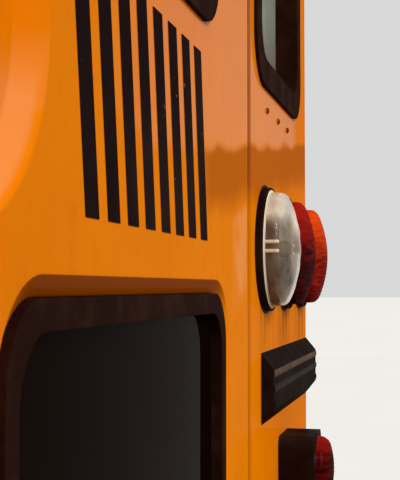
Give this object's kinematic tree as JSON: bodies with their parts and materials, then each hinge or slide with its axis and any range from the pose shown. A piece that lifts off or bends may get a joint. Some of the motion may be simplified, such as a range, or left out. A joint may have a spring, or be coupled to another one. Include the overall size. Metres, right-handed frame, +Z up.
{
  "type": "school bus",
  "caption": "Full-size yellow school bus with a tilting hood, hollow seated cabin, opening doors and hatches, steering and rolling wheels.",
  "frame": {"origin": "on the ground, under the middle of the bounding box", "axes": "+X forwards, +Y to the bus's left, +Z up"},
  "size_m": [10.9, 2.98, 3.13],
  "materials": {
    "school_bus_yellow": "satin, weathered",
    "black_paint": "satin",
    "black_plastic": "satin",
    "gasket_rubber": "matte",
    "window_glass": "clear, slightly tinted",
    "red_lens": "gloss",
    "amber_lens": "gloss",
    "clear_lens": "gloss",
    "tyre_rubber": "matte",
    "wheel_paint": "satin",
    "chassis_black": "satin, dusty",
    "bare_steel": "dull, rusty",
    "cast_block": "matte",
    "stop_red": "satin",
    "seat_vinyl": "grained vinyl",
    "floor_mat": "ribbed"
  },
  "bodies": {
    "bus": {"amber_lenses": "amber_lens", "battery_box": "chassis_black", "bumpers": "black_paint", "cab_front": "school_bus_yellow", "clear_lenses": "clear_lens", "cross_members": "chassis_black", "dashboard": "black_plastic", "drive_shaft": "chassis_black", "driver_seat": "seat_vinyl", "engine_block": "cast_block", "exhaust": "bare_steel", "floor": "floor_mat", "frame_rails": "chassis_black", "front_axle": "chassis_black", "fuel_tank": "chassis_black", "lamp_housings": "black_plastic", "leaf_springs": "chassis_black", "left_seats": "seat_vinyl", "left_side_wall": "school_bus_yellow", "mud_flaps": "gasket_rubber", "radiator": "cast_block", "rear_axle": "chassis_black", "rear_wall": "school_bus_yellow", "red_lenses": "red_lens", "right_seats": "seat_vinyl", "right_side_wall": "school_bus_yellow", "roof": "school_bus_yellow", "rub_rails": "black_paint", "seat_frames": "bare_steel", "side_mirrors": "black_paint", "window_frames": "gasket_rubber", "window_glass": "window_glass"},
    "rear_door": {"rear_door": "school_bus_yellow", "rear_door_glass": "window_glass", "rear_door_gaskets": "gasket_rubber", "rear_door_handle": "bare_steel"},
    "entrance_leaf_front": {"entrance_leaf_front": "black_paint", "entrance_glass_front": "window_glass"},
    "entrance_leaf_rear": {"entrance_leaf_rear": "black_paint", "entrance_glass_rear": "window_glass"},
    "hood": {"hood": "school_bus_yellow", "grille": "black_paint", "headlamps": "clear_lens", "hood_mirrors": "black_paint"},
    "stop_arm": {"stop_arm": "stop_red"},
    "crossing_arm": {"crossing_arm": "black_paint"},
    "roof_hatch_front": {"roof_hatch_front": "school_bus_yellow"},
    "roof_hatch_rear": {"roof_hatch_rear": "school_bus_yellow"},
    "front_left_knuckle": {"front_left_knuckle": "chassis_black"},
    "front_right_knuckle": {"front_right_knuckle": "chassis_black"},
    "front_left_wheel": {"front_left_rim": "wheel_paint", "front_left_tyre": "tyre_rubber"},
    "front_right_wheel": {"front_right_rim": "wheel_paint", "front_right_tyre": "tyre_rubber"},
    "rear_left_wheels": {"rear_left_rims": "wheel_paint", "rear_left_tyres": "tyre_rubber"},
    "rear_right_wheels": {"rear_right_rims": "wheel_paint", "rear_right_tyres": "tyre_rubber"},
    "steering_wheel": {"steering_wheel": "black_plastic"}
  },
  "joints": [
    {"name": "front_left_steer", "type": "hinge", "parent": "bus", "child": "front_left_knuckle", "pos_m": [4.45, 0.86, 0.51], "axis": [0, 0, 1], "range_deg": [-38, 38]},
    {"name": "front_right_steer", "type": "hinge", "parent": "bus", "child": "front_right_knuckle", "pos_m": [4.45, -0.86, 0.51], "axis": [0, 0, 1], "range_deg": [-38, 38]},
    {"name": "steering_wheel_turn", "type": "hinge", "parent": "bus", "child": "steering_wheel", "pos_m": [3.445, 0.68, 1.64], "axis": [-0.6402, 0, 0.7682], "range_deg": [-570, 570]},
    {"name": "front_left_roll", "type": "hinge", "parent": "front_left_knuckle", "child": "front_left_wheel", "pos_m": [4.45, 1.02, 0.51], "axis": [0, 1, 0], "continuous": true},
    {"name": "front_right_roll", "type": "hinge", "parent": "front_right_knuckle", "child": "front_right_wheel", "pos_m": [4.45, -1.02, 0.51], "axis": [0, 1, 0], "continuous": true},
    {"name": "rear_left_roll", "type": "hinge", "parent": "bus", "child": "rear_left_wheels", "pos_m": [-2, 0.877, 0.51], "axis": [0, 1, 0], "continuous": true},
    {"name": "rear_right_roll", "type": "hinge", "parent": "bus", "child": "rear_right_wheels", "pos_m": [-2, -0.877, 0.51], "axis": [0, 1, 0], "continuous": true},
    {"name": "entrance_front_open", "type": "hinge", "parent": "bus", "child": "entrance_leaf_front", "pos_m": [3.62, -1.232, 1.45], "axis": [0, 0, 1], "range_deg": [0, 90]},
    {"name": "entrance_rear_open", "type": "hinge", "parent": "bus", "child": "entrance_leaf_rear", "pos_m": [2.88, -1.232, 1.45], "axis": [0, 0, -1], "range_deg": [0, 90]},
    {"name": "rear_door_open", "type": "hinge", "parent": "bus", "child": "rear_door", "pos_m": [-5.332, -0.504, 1.74], "axis": [0, 0, 1], "range_deg": [0, 115]},
    {"name": "hood_tilt", "type": "hinge", "parent": "bus", "child": "hood", "pos_m": [5.29, 0, 0.777], "axis": [0, 1, 0], "range_deg": [0, 60]},
    {"name": "stop_arm_swing", "type": "hinge", "parent": "bus", "child": "stop_arm", "pos_m": [2.86, 1.262, 1.4], "axis": [0, 0, -1], "range_deg": [0, 90]},
    {"name": "crossing_arm_swing", "type": "hinge", "parent": "bus", "child": "crossing_arm", "pos_m": [5.432, -1.1, 0.615], "axis": [0, 0, -1], "range_deg": [0, 90]},
    {"name": "roof_hatch_rear_open", "type": "hinge", "parent": "bus", "child": "roof_hatch_rear", "pos_m": [-2.564, 0, 3.114], "axis": [0, 1, 0], "range_deg": [0, 35]},
    {"name": "roof_hatch_front_open", "type": "hinge", "parent": "bus", "child": "roof_hatch_front", "pos_m": [1.536, 0, 3.114], "axis": [0, 1, 0], "range_deg": [0, 35]}
  ],
  "couplings": [
    {"joint": "front_right_steer", "follows": "front_left_steer", "ratio": 1},
    {"joint": "steering_wheel_turn", "follows": "front_left_steer", "ratio": 15},
    {"joint": "entrance_rear_open", "follows": "entrance_front_open", "ratio": 1}
  ]
}
